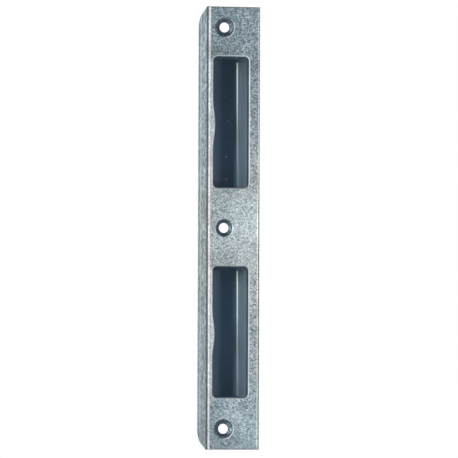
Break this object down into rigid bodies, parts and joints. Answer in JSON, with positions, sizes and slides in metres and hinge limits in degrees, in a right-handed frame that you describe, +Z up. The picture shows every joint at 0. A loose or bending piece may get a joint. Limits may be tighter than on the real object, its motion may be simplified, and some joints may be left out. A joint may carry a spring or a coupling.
{
  "type": "angle strike plate",
  "caption": "Galvanised angle strike plate for a door frame: flat face with countersunk screw holes, a leg bent back, and openings closed behind by moulded boxes.",
  "frame": {"origin": "centre of the middle screw hole, on the back of the plate, which lies on the door frame", "axes": "+Z up along the plate and its row of screws, +Y into the door frame, +X to the right seen from the front; the leg is on the -X side"},
  "size_m": [0.0287, 0.0207, 0.235],
  "materials": {
    "galvanised_steel": "hot-dip galvanised, fine spangle, satin",
    "box_plastic": "moulded dark grey ABS, satin"
  },
  "bodies": {
    "root": {"strike_plate": "galvanised_steel", "upper_bolt_box": "box_plastic", "lower_bolt_box": "box_plastic"}
  },
  "joints": []
}
